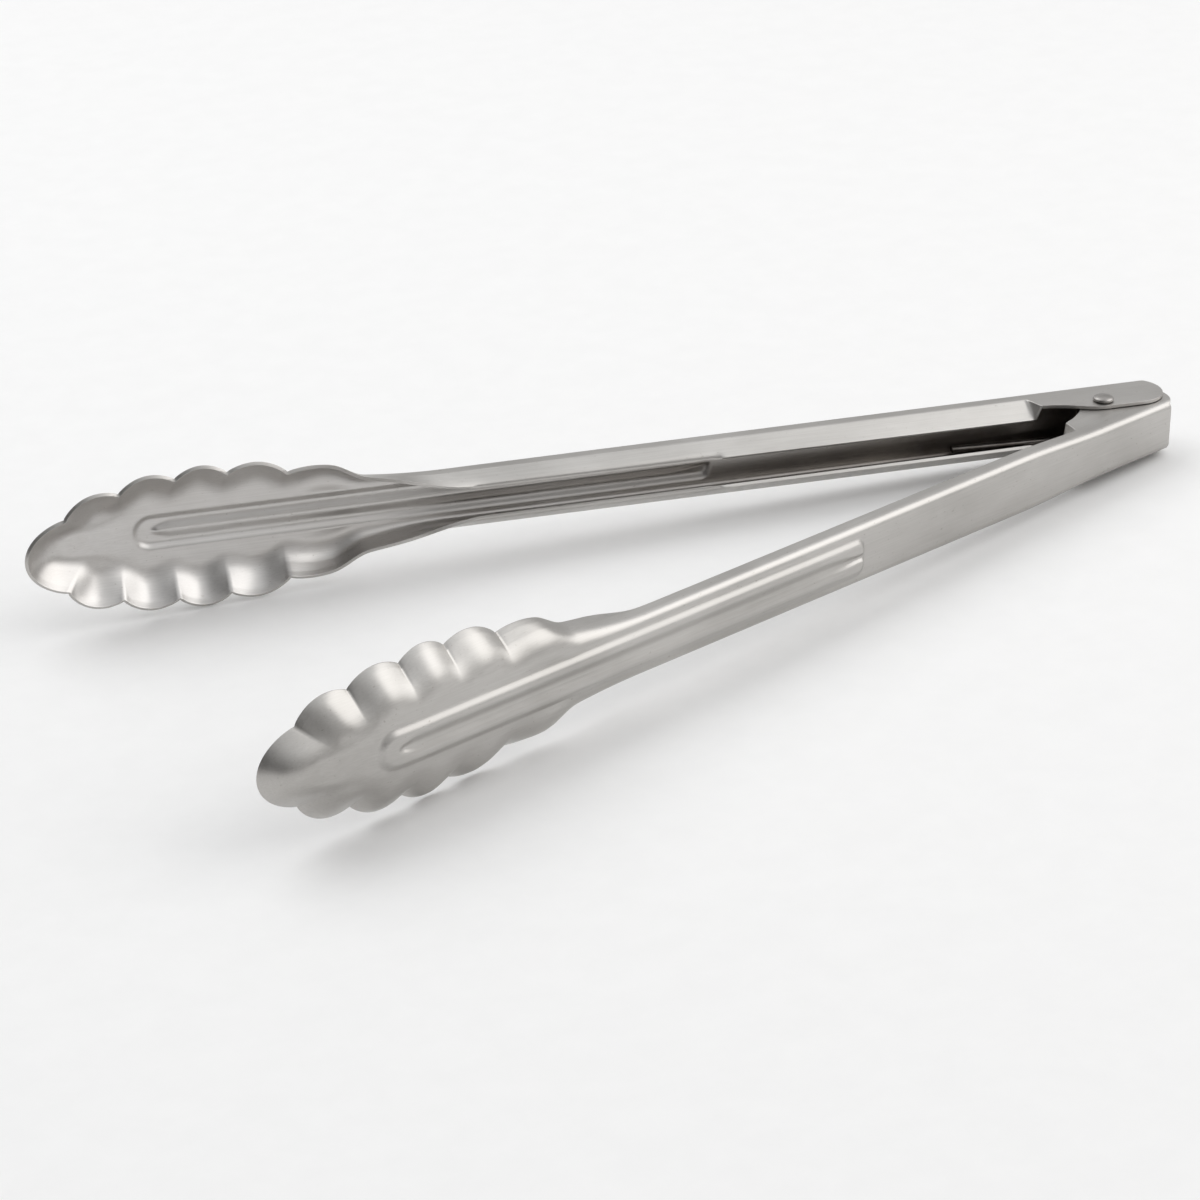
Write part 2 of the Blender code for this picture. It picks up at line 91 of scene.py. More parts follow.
EAR_DEPTH = 0.0153
EAR_TAIL = 0.0188
EAR_ROUND = 0.0079
WEB_TAIL = 0.0149
NOTCH_U = 0.0170
NOTCH_DEPTH = 0.0102
NOTCH_LEAN = 0.0012
FOLD_RUNOUT = 0.0032
EAR_GAP = 0.0002
PINCH_START = 0.012
PINCH_END = 0.045

HEAD_HALF_WIDTH = 0.0170
HEAD_WIDEST = 0.0478
HEAD_ROOT = 0.1118
TIP_BULGE = 0.0018
TIP_ROUNDNESS = 2.1         # 2 is an ellipse, more is blunter
ENVELOPE_STEPS = 400        # on each side of the widest point
ARC_STEP = 0.0002           # half the span that gives the envelope's direction
LOBE_BULGE = 0.0025
LOBE_START = 0.45
LOBE_PUFF = 0.28
CREASES = (0.0890, 0.0678, 0.0523, 0.0389, 0.0245, 0.0104)
RIM_DEPTH_SIDE = 0.0072
RIM_DEPTH_TIP = 0.0095
RIM_RISE_LENGTH = 0.040
RIM_STUB = 0.0016
RIM_CURL = math.radians(4.0)
BOWL_RADIUS = 0.0090
BOWL_ANGLE = math.radians(48.0)
TIP_ANGLE = math.radians(38.0)
SCOOP_LENGTH = 0.040
SCOOP_RATE = 3.5
FAN_START = 0.035
FAN_END = 0.020
SHAPE_START = 0.1128
SHAPE_END = 0.0528

BEAD_HEIGHT = 0.0011
BEAD_CREST = 0.0032
BEAD_HALF_WIDTH = 0.0056
BEAD_TURN = 0.0288
BEAD_END = 0.1075
GROOVE_HALF_WIDTH = 0.0027
GROOVE_SHARE = 0.70
GROOVE_ROUND = 0.0050
GROOVE_PINCH = 0.0120
END_SLOPE = 1.6
RECESS_INSET = 0.0005       # the recess inside is narrower than the bead outside
RECESS_SHORT = 0.0015       # and its round end stops short of the bead's

PIN_RADIUS = 0.0018
PIN_CLEARANCE = 0.00007
RIVET_HEAD_RADIUS = 0.0028
RIVET_HEAD_HEIGHT = 0.0013
TAIL_HEAD_RADIUS = 0.0030
TAIL_HEAD_HEIGHT = 0.0011
RIVET_SEAT_GAP = 0.0003
HEAD_CHAMFER = 0.00012

WIRE_RADIUS = 0.00095
COIL_RADIUS = 0.0060
WHOLE_TURNS = 4
LEG_REACH = 0.0395
SPRING_GAP = 0.0003
WIRE_CHAMFER = 0.00022

PINCHED_HEIGHT = HINGE_HEIGHT - 2.0 * (SHEET + EAR_GAP)
WIDEST_U = REACH - HEAD_WIDEST
ROOT_U = REACH - HEAD_ROOT
TIP_ENVELOPE_U = REACH - TIP_BULGE
TURN_U = REACH - BEAD_TURN - BEAD_CREST
COIL_HALF_HEIGHT = PINCHED_HEIGHT / 2.0 - SHEET - SPRING_GAP - WIRE_RADIUS
LEG_OFFSET = PIVOT_DEPTH - SHEET - SPRING_GAP - WIRE_RADIUS

# mesh density of half an arm: columns from the centre line to the rim
FLOOR_COLUMNS = 24
BEND_COLUMNS = 8
WALL_COLUMNS = 16
CREASE_COLUMNS = 4
LIP_COLUMNS = 6

# and rows from the tail to the tip
EAR_ROWS = 28
FOLD_ROWS = 14
HANDLE_ROWS = 36
BEAD_END_ROWS = 22
NECK_ROWS = 36
ROOT_ROWS = 24
ROWS_PER_LOBE = 22
TIP_ROWS = 18
BEAD_END_BEFORE = 0.003     # the close rows at the bead's end start this far before it
BEAD_END_AFTER = 0.006      # and end this far past it

# edges and round pieces
EDGE_ROUND = 0.00007
EDGE_ANGLE = math.radians(62.0)
EDGE_SEGMENTS = 2
SEAM_MERGE = 0.000002
HOLE_SIDES = 48
RIVET_SIDES = 64
RIVET_SHARP = math.radians(40.0)
DOME_STEPS = 14
WIRE_SIDES = 16
WIRE_SHARP = math.radians(35.0)
COIL_STEPS_PER_TURN = 56
COIL_STEPS_PART_TURN = 16
LEG_STEPS = 24

# ---------------------------------------------------------------- place of the tongs
hinge = frame["joints"][0]
pivot = Vector(hinge["pos_m"])
up = -Vector(hinge["axis"]).normalized()
TONGS = Matrix.Translation(pivot) @ Matrix.Rotation(math.atan2(up.x, up.z), 4, "Y")


def arm_place(side):
    """From an arm's own coordinates to the row frame, at rest."""
    return TONGS @ Matrix.Rotation(-side * HALF_OPENING, 4, "Z")


def smooth(x):
    x = min(max(x, 0.0), 1.0)
    return x * x * (3.0 - 2.0 * x)


def mix(a, b, t):
    return a + (b - a) * t


# ---------------------------------------------------------------- outline of the head
def envelope_points():
    """Outline of half a head without its lobes, from the neck to the tip."""
    points = []
    count = ENVELOPE_STEPS
    for i in range(count + 1):
        u = mix(ROOT_U, WIDEST_U, i / count)
        t = smooth((u - ROOT_U) / (WIDEST_U - ROOT_U))
        points.append((u, mix(NECK_HEIGHT / 2.0, HEAD_HALF_WIDTH, t)))
    for i in range(1, count + 1):
        angle = 0.5 * math.pi * i / count
        u = mix(WIDEST_U, TIP_ENVELOPE_U, math.sin(angle) ** (2.0 / TIP_ROUNDNESS))
        points.append((u, HEAD_HALF_WIDTH * max(math.cos(angle), 0.0)))
    return np.array(points)


ENVELOPE = envelope_points()
STEPS = np.hypot(*np.diff(ENVELOPE, axis=0).T)
ARC = np.concatenate([[0.0], np.cumsum(STEPS)])


def on_envelope(arc):
    """Point and outward direction at an arc length along the envelope."""
    u = float(np.interp(arc, ARC, ENVELOPE[:, 0]))
    v = float(np.interp(arc, ARC, ENVELOPE[:, 1]))
    if arc >= ARC[-1] - 1e-7:
        return (u, 0.0), (1.0, 0.0)
    du, dv = (np.interp(arc + ARC_STEP, ARC, values) - np.interp(arc - ARC_STEP, ARC, values)
              for values in ENVELOPE.T)
    n = math.hypot(du, dv)
    return (u, v), (-float(dv) / n, float(du) / n)


def spine_start(u):
    """Where the section that ends at u on the envelope starts on the centre line."""
    first = REACH - FAN_START
    last = REACH - FAN_END
    if u <= first:
        return u
    power = (TIP_ENVELOPE_U - first) / (last - first)
    left = max(1.0 - (u - first) / (TIP_ENVELOPE_U - first), 0.0)
    return first + (last - first) * (1.0 - left ** power)


def floor_depth(u):
    """How far the web sinks towards the other arm near the tip."""
    return SCOOP_RATE * max(u - (REACH - SCOOP_LENGTH), 0.0) ** 2


def bead_height(u, v, inset=0.0, short=0.0):
    """Height of the grooved bead above the web, or depth of its recess inside."""
    turn = TURN_U - short
    crest = BEAD_CREST - 0.5 * inset
    if u > turn:
        off = math.hypot(u - turn, v)
    else:
        behind = max(END_SLOPE * (BEAD_END + short - u) + crest, 0.0)
        off = (abs(v) ** 3 + behind ** 3) ** (1.0 / 3.0)
    flank = smooth((off - crest) / (BEAD_HALF_WIDTH - inset - crest))
    ahead = min(max((turn - u) / GROOVE_ROUND, 0.0), 1.0)
    pinch = mix(0.5, 1.0, smooth((u - BEAD_END) / GROOVE_PINCH))
    half = GROOVE_HALF_WIDTH * pinch * math.sqrt(ahead)
    groove = 1.0 - smooth(abs(v) / half) if half else 0.0
    return BEAD_HEIGHT * (1.0 - flank) * (1.0 - GROOVE_SHARE * smooth(3.0 * ahead) * groove)


# ---------------------------------------------------------------- sections of an arm
def arm_height(u, pinched):
    """Height of the channel over both flanges; the inner arm's is pinched at the hinge."""
    full = mix(HINGE_HEIGHT, NECK_HEIGHT, min(max(u, 0.0) / ROOT_U, 1.0))
    if not pinched:
        return full
    return mix(PINCHED_HEIGHT, full, smooth((u - PINCH_START) / (PINCH_END - PINCH_START)))


def shape_values(u):
    """Wall angle and bend radius, which change from channel to bowl."""
    t = smooth((u - (REACH - SHAPE_START)) / (SHAPE_START - SHAPE_END))
    angle = mix(0.5 * math.pi, BOWL_ANGLE, t)
    rise = smooth((u - (REACH - SCOOP_LENGTH)) / SCOOP_LENGTH)
    return mix(angle, TIP_ANGLE, rise), mix(BEND_RADIUS, BOWL_RADIUS, t)


def lip_values(u):
    """Lip length and fold angle at u."""
    past = u - (REACH - LIP_FULL)
    if past >= 0.0:
        taper = smooth(past / (LIP_FULL - LIP_GONE))
        fold = smooth(past / (LIP_FULL - FOLD_GONE))
        return mix(LIP_AT_NECK, RIM_STUB, taper), mix(LIP_ANGLE, RIM_CURL, fold)
    return mix(LIP_AT_HINGE, LIP_AT_NECK, max(u, 0.0) / (REACH - LIP_FULL)), LIP_ANGLE


EAR_CENTRE_U = EAR_ROUND - EAR_TAIL
EAR_CENTRE_D = EAR_DEPTH - EAR_ROUND
FLANGE_ANGLE = math.acos((BEND_RADIUS - EAR_CENTRE_D) / EAR_ROUND)


def wall_share(i):
    """Share of the flange below column i, spaced so that the ear's end is a smooth arc."""
    depth = EAR_CENTRE_D + EAR_ROUND * math.cos(FLANGE_ANGLE * (1.0 - i / WALL_COLUMNS))
    return (depth - BEND_RADIUS) / (EAR_DEPTH - BEND_RADIUS)


WALL_SHARES = [wall_share(i) for i in range(1, WALL_COLUMNS + 1)]


def floor_columns(u, flat):
    """Distances from the centre line, dense on the bead and even beyond its turn."""
    t = smooth((u - TURN_U) / 0.012)
    edge = min(1.04 * BEAD_HALF_WIDTH, 0.98 * flat)
    columns = []
    for i in range(FLOOR_COLUMNS):
        columns.append(mix(edge * i / (FLOOR_COLUMNS - 1), flat * i / FLOOR_COLUMNS, t))
    return columns + [flat]


def section(start, end, outward, depth, cusp=0.0, swell=0.0, run_out=0.0, lean=0.0):
    """Points of one half section, from the centre line to the rim, without the bead.

    cusp and swell push the rim and the bowl outward for a lobe; run_out raises the lip's
    fold to the ear's edge and lean slants the lip there.
    """
    length = math.hypot(end[0] - start, end[1])
    along = ((end[0] - start) / length, end[1] / length)
    angle, radius = shape_values(end[0])
    wall = (depth - floor_depth(end[0]) - radius * (1.0 - math.cos(angle))) / math.sin(angle)
    flat = length - radius * math.sin(angle) - wall * math.cos(angle)
    wall -= RIM_STUB
    lip, fold = lip_values(end[0])

    path = [(rho, 0.0) for rho in floor_columns(start, flat)]
    for i in range(1, BEND_COLUMNS + 1):
        a = angle * i / BEND_COLUMNS
        path.append((flat + radius * math.sin(a), radius * (1.0 - math.cos(a))))
    foot = path[-1]
    back = min(CREASE_RADIUS * math.tan(fold / 2.0), 0.4 * lip)
    top = wall + run_out
    for share in WALL_SHARES:
        reach = share * (top - back)
        path.append((foot[0] + reach * math.cos(angle), foot[1] + reach * math.sin(angle)))
    crease = (foot[0] + top * math.cos(angle), foot[1] + top * math.sin(angle))
    rim_angle = angle + fold
    rim = (crease[0] + lip * math.cos(rim_angle),
           crease[1] - run_out * math.sin(angle) + lip * math.sin(rim_angle))
    lip_length = math.hypot(rim[0] - crease[0], rim[1] - crease[1])
    lip_way = ((rim[0] - crease[0]) / lip_length, (rim[1] - crease[1]) / lip_length)
    turn_in = path[-1]
    turn_out = (crease[0] + back * lip_way[0], crease[1] + back * lip_way[1])
    for i in range(1, CREASE_COLUMNS + 1):
        t = i / CREASE_COLUMNS
        a, b, c = (1.0 - t) ** 2, 2.0 * t * (1.0 - t), t * t
        path.append((a * turn_in[0] + b * crease[0] + c * turn_out[0],
                     a * turn_in[1] + b * crease[1] + c * turn_out[1]))
    crease_index = len(path) - 1
    for i in range(1, LIP_COLUMNS + 1):
        t = i / LIP_COLUMNS
        path.append((mix(turn_out[0], rim[0], t), mix(turn_out[1], rim[1], t)))

    total = path[-1][0]
    points = []
    for index, (rho, rise) in enumerate(path):
        s = min(max((rho / total - LOBE_START) / (1.0 - LOBE_START), 0.0), 1.0)
        out = mix(swell, cusp, s) * smooth(s)
        puff = LOBE_PUFF * swell * 4.0 * s * (1.0 - s)
        u = start + rho * along[0] + out * outward[0]
        v = rho * along[1] + out * outward[1]
        if index > crease_index:
            u += lean * (index - crease_index) / LIP_COLUMNS
        points.append((u, v, floor_depth(u) + rise - puff))
    return points


def handle_section(u, pinched):
    """Half section of the channel, whose lip fades out over FOLD_RUNOUT at the ears."""
    run = smooth((NOTCH_U + FOLD_RUNOUT - u) / FOLD_RUNOUT) ** 1.5
    run_out = (NOTCH_DEPTH - CREASE_DEPTH) * run
    return section(u, (u, arm_height(u, pinched) / 2.0), (0.0, 1.0),
                   CREASE_DEPTH + RIM_STUB, run_out=run_out, lean=NOTCH_LEAN * run)


def head_section(arc, cusp=0.0, swell=0.0):
    """Half section that ends at an arc length along the head's envelope."""
    end, outward = on_envelope(arc)
    rise = smooth((end[0] - (REACH - RIM_RISE_LENGTH)) / RIM_RISE_LENGTH)
    root = smooth((end[0] - ROOT_U) / (WIDEST_U - ROOT_U))
    side = mix(CREASE_DEPTH + RIM_STUB, RIM_DEPTH_SIDE, root)
    depth = mix(side, RIM_DEPTH_TIP, rise)
    return section(spine_start(end[0]), end, outward, depth, cusp, swell)


def tail_u(depth):
    """Rear end of the arm at a depth: cut square at the web, round at the ears."""
    off = depth - EAR_CENTRE_D
    arc = math.sqrt(max(EAR_ROUND ** 2 - off ** 2, 0.0))
    return min(EAR_CENTRE_U - arc, -WEB_TAIL) if depth < EAR_CENTRE_D else EAR_CENTRE_U - arc


def ear_row(t, pinched):
    """Half section of the ears. t runs from 0 at the notch to 1 at the tail."""
    points = []
    half = arm_height(0.0, pinched) / 2.0
    flat = half - BEND_RADIUS
    columns = [(v, 0.0) for v in floor_columns(0.0, flat)]
    for i in range(1, BEND_COLUMNS + 1):
        a = 0.5 * math.pi * i / BEND_COLUMNS
        columns.append((flat + BEND_RADIUS * math.sin(a), BEND_RADIUS * (1.0 - math.cos(a))))
    columns += [(half, mix(BEND_RADIUS, EAR_DEPTH, share)) for share in WALL_SHARES]
    for v, depth in columns:
        u = mix(NOTCH_U, tail_u(depth), t)
        fall = 0.5 * (1.0 - math.cos(math.pi * min(max(u / NOTCH_U, 0.0), 1.0)))
        edge = mix(EAR_DEPTH, NOTCH_DEPTH, fall)
        share = (depth - BEND_RADIUS) / (EAR_DEPTH - BEND_RADIUS)
        d = mix(BEND_RADIUS, edge, share) if share > 0.0 else depth
        widen = arm_height(max(u, 0.0), pinched) / 2.0 - half
        points.append((u, v + widen * min(v / flat, 1.0), d))
    return points


def spread(first, last, count):
    """Even steps from first up to, but without, last."""
    return [mix(first, last, i / count) for i in range(count)]


def arm_rows(pinched):
    """All half sections of an arm, from the tail to the tip."""
    rows = [ear_row(1.0 - i / EAR_ROWS, pinched) for i in range(EAR_ROWS)]
    fold_end = NOTCH_U + FOLD_RUNOUT
    close_start = BEAD_END - BEAD_END_BEFORE
    close_end = BEAD_END + BEAD_END_AFTER
    stations = spread(NOTCH_U, fold_end, FOLD_ROWS)
    stations += spread(fold_end, close_start, HANDLE_ROWS)
    stations += spread(close_start, close_end, BEAD_END_ROWS)
    stations += spread(close_end, ROOT_U, NECK_ROWS)
    rows += [handle_section(u, pinched) for u in stations]
    arcs = [float(np.interp(REACH - c, ENVELOPE[:, 0], ARC)) for c in CREASES]
    rows += [head_section(arc) for arc in spread(0.0, arcs[0], ROOT_ROWS)]
    for k, (first, last) in enumerate(zip(arcs, arcs[1:])):
        for i in range(ROWS_PER_LOBE):
            t = 0.5 * (1.0 - math.cos(math.pi * i / ROWS_PER_LOBE))
            phase = mix(i / ROWS_PER_LOBE, t, 0.4)
            wave = math.sin(math.pi * phase)
            cusp = LOBE_BULGE * wave ** (2.0 if k == 0 and phase < 0.5 else 0.8)
            rows.append(head_section(mix(first, last, phase), cusp, LOBE_BULGE * wave ** 2))
    for i in range(TIP_ROWS + 1):
        arc = mix(arcs[-1], float(ARC[-1]), i / TIP_ROWS)
        wave = math.sin(0.5 * math.pi * i / TIP_ROWS)
        rows.append(head_section(arc, TIP_BULGE * wave ** 0.8, TIP_BULGE * wave ** 2))
    return rows


# ---------------------------------------------------------------- mesh helpers
def new_object(name, mesh, *materials):
    """Links a mesh into the scene with its materials in slot order."""
    item = bpy.data.objects.new(name, mesh)
    bpy.context.scene.collection.objects.link(item)
    for material in materials:
        mesh.materials.append(material)
    return item


def smooth_mesh(work, name):
    """Turns a bmesh into a smooth shaded mesh and frees it."""
    for face in work.faces:
        face.smooth = True
    mesh = bpy.data.meshes.new(name)
    work.to_mesh(mesh)
    work.free()
    return mesh


def bake_modifiers(item):
    """Replaces an object's mesh by what its modifiers make of it."""
    bpy.context.view_layer.update()
    graph = bpy.context.evaluated_depsgraph_get()
    baked = bpy.data.meshes.new_from_object(item.evaluated_get(graph))
    item.modifiers.clear()
    item.data = baked
    baked.name = item.name


def make_arm(name, side, outside, inside):
    """Both faces of the sheet, joined round its edge; side is +1 for the outer arm."""
    rows = arm_rows(pinched=side < 0)
    points = [p for row in rows for p in row]
    starts = np.cumsum([0] + [len(row) for row in rows])
    faces = []
    for i, (near, far) in enumerate(zip(rows, rows[1:])):
        a, b = int(starts[i]), int(starts[i + 1])
        for j in range(min(len(near), len(far)) - 1):
            face = (a + j, a + j + 1, b + j + 1, b + j)
            faces.append(face if side < 0 else face[::-1])

    def place(u, v, d):
        return (-u, side * (PIVOT_DEPTH - d), v)

    base = bpy.data.meshes.new(name + "_base")
    base.from_pydata([place(*p) for p in points], [], faces)
    normals = np.zeros(len(points) * 3, np.float32)
    base.vertices.foreach_get("normal", normals)
    normals = normals.reshape(-1, 3).astype(float)
    bpy.data.meshes.remove(base)
    for i, (u, v, d) in enumerate(points):
        if abs(v) < 1e-7:
            normals[i][2] = 0.0
    normals /= np.linalg.norm(normals, axis=1)[:, None]

    outer = []
    inner = []
    for (u, v, d), normal in zip(points, normals):
        outer.append(place(u, v, d - bead_height(u, v)))
        x, y, z = np.array(place(u, v, d)) - SHEET * normal
        inner.append((x, y + side * bead_height(u, v, RECESS_INSET, RECESS_SHORT), z))

    work = bmesh.new()
    top = [work.verts.new(co) for co in outer]
    low = [work.verts.new(co) for co in inner]
    partner = dict(zip(top, low))
    for face in faces:
        work.faces.new([top[k] for k in face])
    rim = [edge for edge in work.edges if len(edge.link_faces) == 1
           and not all(abs(vert.co.z) < 1e-7 for vert in edge.verts)]
    for edge in rim:
        loop = edge.link_loops[0]
        a, b = loop.vert, loop.link_loop_next.vert
        work.faces.new((b, a, partner[a], partner[b]))
    for face in faces:
        made = work.faces.new([low[k] for k in reversed(face)])
        made.material_index = 1

    arm = new_object(name, smooth_mesh(work, name), outside, inside)
    mirror = arm.modifiers.new("other_half", "MIRROR")
    mirror.use_axis = (False, False, True)
    mirror.merge_threshold = SEAM_MERGE
    hole_mesh = bpy.data.meshes.new(name + "_hole")
    work = bmesh.new()
    hole_radius = PIN_RADIUS + PIN_CLEARANCE
    bmesh.ops.create_cone(work, cap_ends=True, segments=HOLE_SIDES, depth=2.0 * HINGE_HEIGHT,
                          radius1=hole_radius, radius2=hole_radius)
    work.to_mesh(hole_mesh)
    work.free()
    hole = new_object(name + "_hole", hole_mesh)
    cut = arm.modifiers.new("pin_hole", "BOOLEAN")
    cut.operation = "DIFFERENCE"
    cut.solver = "EXACT"
    cut.object = hole
    bevel = arm.modifiers.new("edge", "BEVEL")
    bevel.width = EDGE_ROUND
    bevel.segments = EDGE_SEGMENTS
    bevel.limit_method = "ANGLE"
    bevel.angle_limit = EDGE_ANGLE
    bevel.use_clamp_overlap = False
    arm.modifiers.new("shading", "WEIGHTED_NORMAL").keep_sharp = True
    bake_modifiers(arm)
    bpy.data.objects.remove(hole)
    arm.data.transform(arm_place(side))
    return arm


def turned(name, profile, sides, material):
    """Solid of revolution about Z from (radius, z) points that start and end on the axis."""
    work = bmesh.new()
    rings = []
    for radius, z in profile:
        if radius < 1e-7:
            rings.append([work.verts.new((0.0, 0.0, z))])
            continue
        rings.append([work.verts.new((radius * math.cos(2.0 * math.pi * k / sides),
                                      radius * math.sin(2.0 * math.pi * k / sides), z))
                      for k in range(sides)])
    for a, b in zip(rings, rings[1:]):
        for k in range(sides):
            n = (k + 1) % sides
            if len(a) == 1:
                work.faces.new((a[0], b[k], b[n]))
            elif len(b) == 1:
                work.faces.new((a[k], b[0], a[n]))
            else:
                work.faces.new((a[k], b[k], b[n], a[n]))
    mesh = smooth_mesh(work, name)
    item = new_object(name, mesh, material)
    mesh.set_sharp_from_angle(angle=RIVET_SHARP)
    return item


def dome(radius, seat, height, sign):
    """Half profile of a pressed rivet head: flat crown, round shoulder, small side."""
    crown = []
    for i in range(DOME_STEPS + 1):
        a = 0.5 * math.pi * i / DOME_STEPS
        r = radius * (0.62 * math.sin(a) ** 0.9 + 0.38 * (1.0 - (1.0 - math.sin(a)) ** 0.8))
        crown.append((r, seat + sign * height * (0.30 + 0.70 * math.cos(a) ** 0.9)))
    crown.append((radius, seat + sign * HEAD_CHAMFER))
    crown.append((radius - HEAD_CHAMFER, seat))
    return crown


def make_rivet(material):
    seat = HINGE_HEIGHT / 2.0 + RIVET_SEAT_GAP
    profile = dome(RIVET_HEAD_RADIUS, seat, RIVET_HEAD_HEIGHT, 1.0)
    profile += [(PIN_RADIUS, seat), (PIN_RADIUS, -seat)]
    profile += dome(TAIL_HEAD_RADIUS, -seat, TAIL_HEAD_HEIGHT, -1.0)[::-1]
    rivet = turned("rivet_turned", profile, RIVET_SIDES, material)
    rivet.data.transform(TONGS)
    return rivet


def spring_path():
    """Centre line from the outer arm's leg through the coil to the inner arm's leg."""
    slope = 0.0
    for _ in range(30):
        slope = math.atan((LEG_OFFSET - COIL_RADIUS / math.cos(slope)) / LEG_REACH)
    first = 0.5 * math.pi - slope - HALF_OPENING
    sweep = math.pi - 2.0 * slope - 2.0 * HALF_OPENING + 2.0 * math.pi * WHOLE_TURNS
    leg = (LEG_REACH + COIL_RADIUS * math.sin(slope)) / math.cos(slope)
    steps = COIL_STEPS_PER_TURN * WHOLE_TURNS + COIL_STEPS_PART_TURN
    coil = []
    for i in range(steps + 1):
        a = first - sweep * i / steps
        z = COIL_HALF_HEIGHT * (2.0 * i / steps - 1.0)
        coil.append((COIL_RADIUS * math.cos(a), COIL_RADIUS * math.sin(a), z))
    lower = []
    upper = []
    for i in range(LEG_STEPS, 0, -1):
        t = i / LEG_STEPS
        x = coil[0][0] - leg * t * math.cos(slope + HALF_OPENING)
        y = coil[0][1] + leg * t * math.sin(slope + HALF_OPENING)
        lower.append((x, y, -COIL_HALF_HEIGHT))
        upper.append((x, -y, COIL_HALF_HEIGHT))
    return lower + coil + upper[::-1]


def make_spring(material):
    """Drawn wire swept along the spring's centre line, with small chamfers at its ends."""
    path = np.array(spring_path())
    along = np.gradient(path, axis=0)
    along /= np.linalg.norm(along, axis=1)[:, None]
    stations = [(path[0], along[0], WIRE_RADIUS - WIRE_CHAMFER),
                (path[0] + WIRE_CHAMFER * along[0], along[0], WIRE_RADIUS)]
    stations += [(p, t, WIRE_RADIUS) for p, t in zip(path[1:-1], along[1:-1])]
    stations += [(path[-1] - WIRE_CHAMFER * along[-1], along[-1], WIRE_RADIUS),
                 (path[-1], along[-1], WIRE_RADIUS - WIRE_CHAMFER)]
    work = bmesh.new()
    rings = []
    for centre, way, radius in stations:
        across = np.cross(way, (0.0, 0.0, 1.0))
        across /= np.linalg.norm(across)
        lift = np.cross(across, way)
        ring = []
        for k in range(WIRE_SIDES):
            a = 2.0 * math.pi * k / WIRE_SIDES
            spoke = math.cos(a) * across + math.sin(a) * lift
            ring.append(work.verts.new(centre + radius * spoke))
        rings.append(ring)
    for a, b in zip(rings, rings[1:]):
        for k in range(WIRE_SIDES):
            n = (k + 1) % WIRE_SIDES
            work.faces.new((a[k], a[n], b[n], b[k]))
    work.faces.new(rings[0][::-1])
    work.faces.new(rings[-1])
    bmesh.ops.recalc_face_normals(work, faces=work.faces)
    mesh = smooth_mesh(work, "spring_wire")
    mesh.set_sharp_from_angle(angle=WIRE_SHARP)
    mesh.transform(TONGS)
    return new_object("spring_wire", mesh, material)


# ---------------------------------------------------------------- materials
def fill_ramp(node, stops):
    """Sets a colour ramp's stops from (position, colour) pairs."""
    elements = node.color_ramp.elements
    while len(elements) < len(stops):
        elements.new(0.5)
    for element, (position, colour) in zip(elements, stops):
        element.position = position
        element.color = (*colour, 1.0)


class Nodes:
    """Short names for building one node material."""

    def __init__(self, name, own_axes=Matrix()):
        self.material = bpy.data.materials.new(name)
        self.material.use_nodes = True
        self.tree = self.material.node_tree
        self.shader = self.tree.nodes["Principled BSDF"]
        coordinates = self.tree.nodes.new("ShaderNodeTexCoord")
        to_own = self.tree.nodes.new("ShaderNodeMapping")
        back = own_axes.inverted()
        to_own.inputs["Location"].default_value = back.to_translation()
        to_own.inputs["Rotation"].default_value = back.to_euler()
        self.link(coordinates.outputs["Object"], to_own.inputs["Vector"])
        self.place = to_own.outputs["Vector"]

    def link(self, source, target):
        self.tree.links.new(source, target)

    def noise(self, scale, detail=4.0, roughness=0.55, stretch=(1.0, 1.0, 1.0), shift=0.0):
        mapping = self.tree.nodes.new("ShaderNodeMapping")
        mapping.inputs["Scale"].default_value = stretch
        mapping.inputs["Location"].default_value = (shift, shift, shift)
        self.link(self.place, mapping.inputs["Vector"])
        noise = self.tree.nodes.new("ShaderNodeTexNoise")
        noise.inputs["Scale"].default_value = scale
        noise.inputs["Detail"].default_value = detail
        noise.inputs["Roughness"].default_value = roughness
        self.link(mapping.outputs["Vector"], noise.inputs["Vector"])
        return noise.outputs["Fac"]

    def ramp(self, source, *stops):
        node = self.tree.nodes.new("ShaderNodeValToRGB")
        fill_ramp(node, stops)
        self.link(source, node.inputs["Fac"])
        return node.outputs["Color"]

    def remap(self, source, low, high, first, last):
        node = self.tree.nodes.new("ShaderNodeMapRange")
        for socket, value in zip(("From Min", "From Max", "To Min", "To Max"),
                                 (low, high, first, last)):
            node.inputs[socket].default_value = value
        self.link(source, node.inputs["Value"])
        return node.outputs["Result"]

    def add(self, first, second):
        node = self.tree.nodes.new("ShaderNodeMath")
        node.operation = "ADD"
        for socket, value in zip(node.inputs, (first, second)):
            self.link(value, socket)
        return node.outputs["Value"]

    def multiply(self, first, second, share=1.0):
        node = self.tree.nodes.new("ShaderNodeMix")
        node.data_type = "RGBA"
        node.blend_type = "MULTIPLY"
        node.inputs["Factor"].default_value = share
        self.link(first, node.inputs["A"])
        self.link(second, node.inputs["B"])
        return node.outputs["Result"]

    def bump(self, height, distance, strength=1.0, normal=None):
        node = self.tree.nodes.new("ShaderNodeBump")
        node.inputs["Distance"].default_value = distance
        node.inputs["Strength"].default_value = strength
        self.link(height, node.inputs["Height"])
        if normal:
            self.link(normal, node.inputs["Normal"])
        return node.outputs["Normal"]


# painted shade of the inside, which darkens towards the hinge where the channel and the ears
# shade it
HINGE_SHADE_START = -0.235         # places along the arm's own X, where 0 is the hinge
HINGE_SHADE_FULL = -0.015
HINGE_SHADE_SPREAD = 0.035         # how far clouds move the painted shade either way
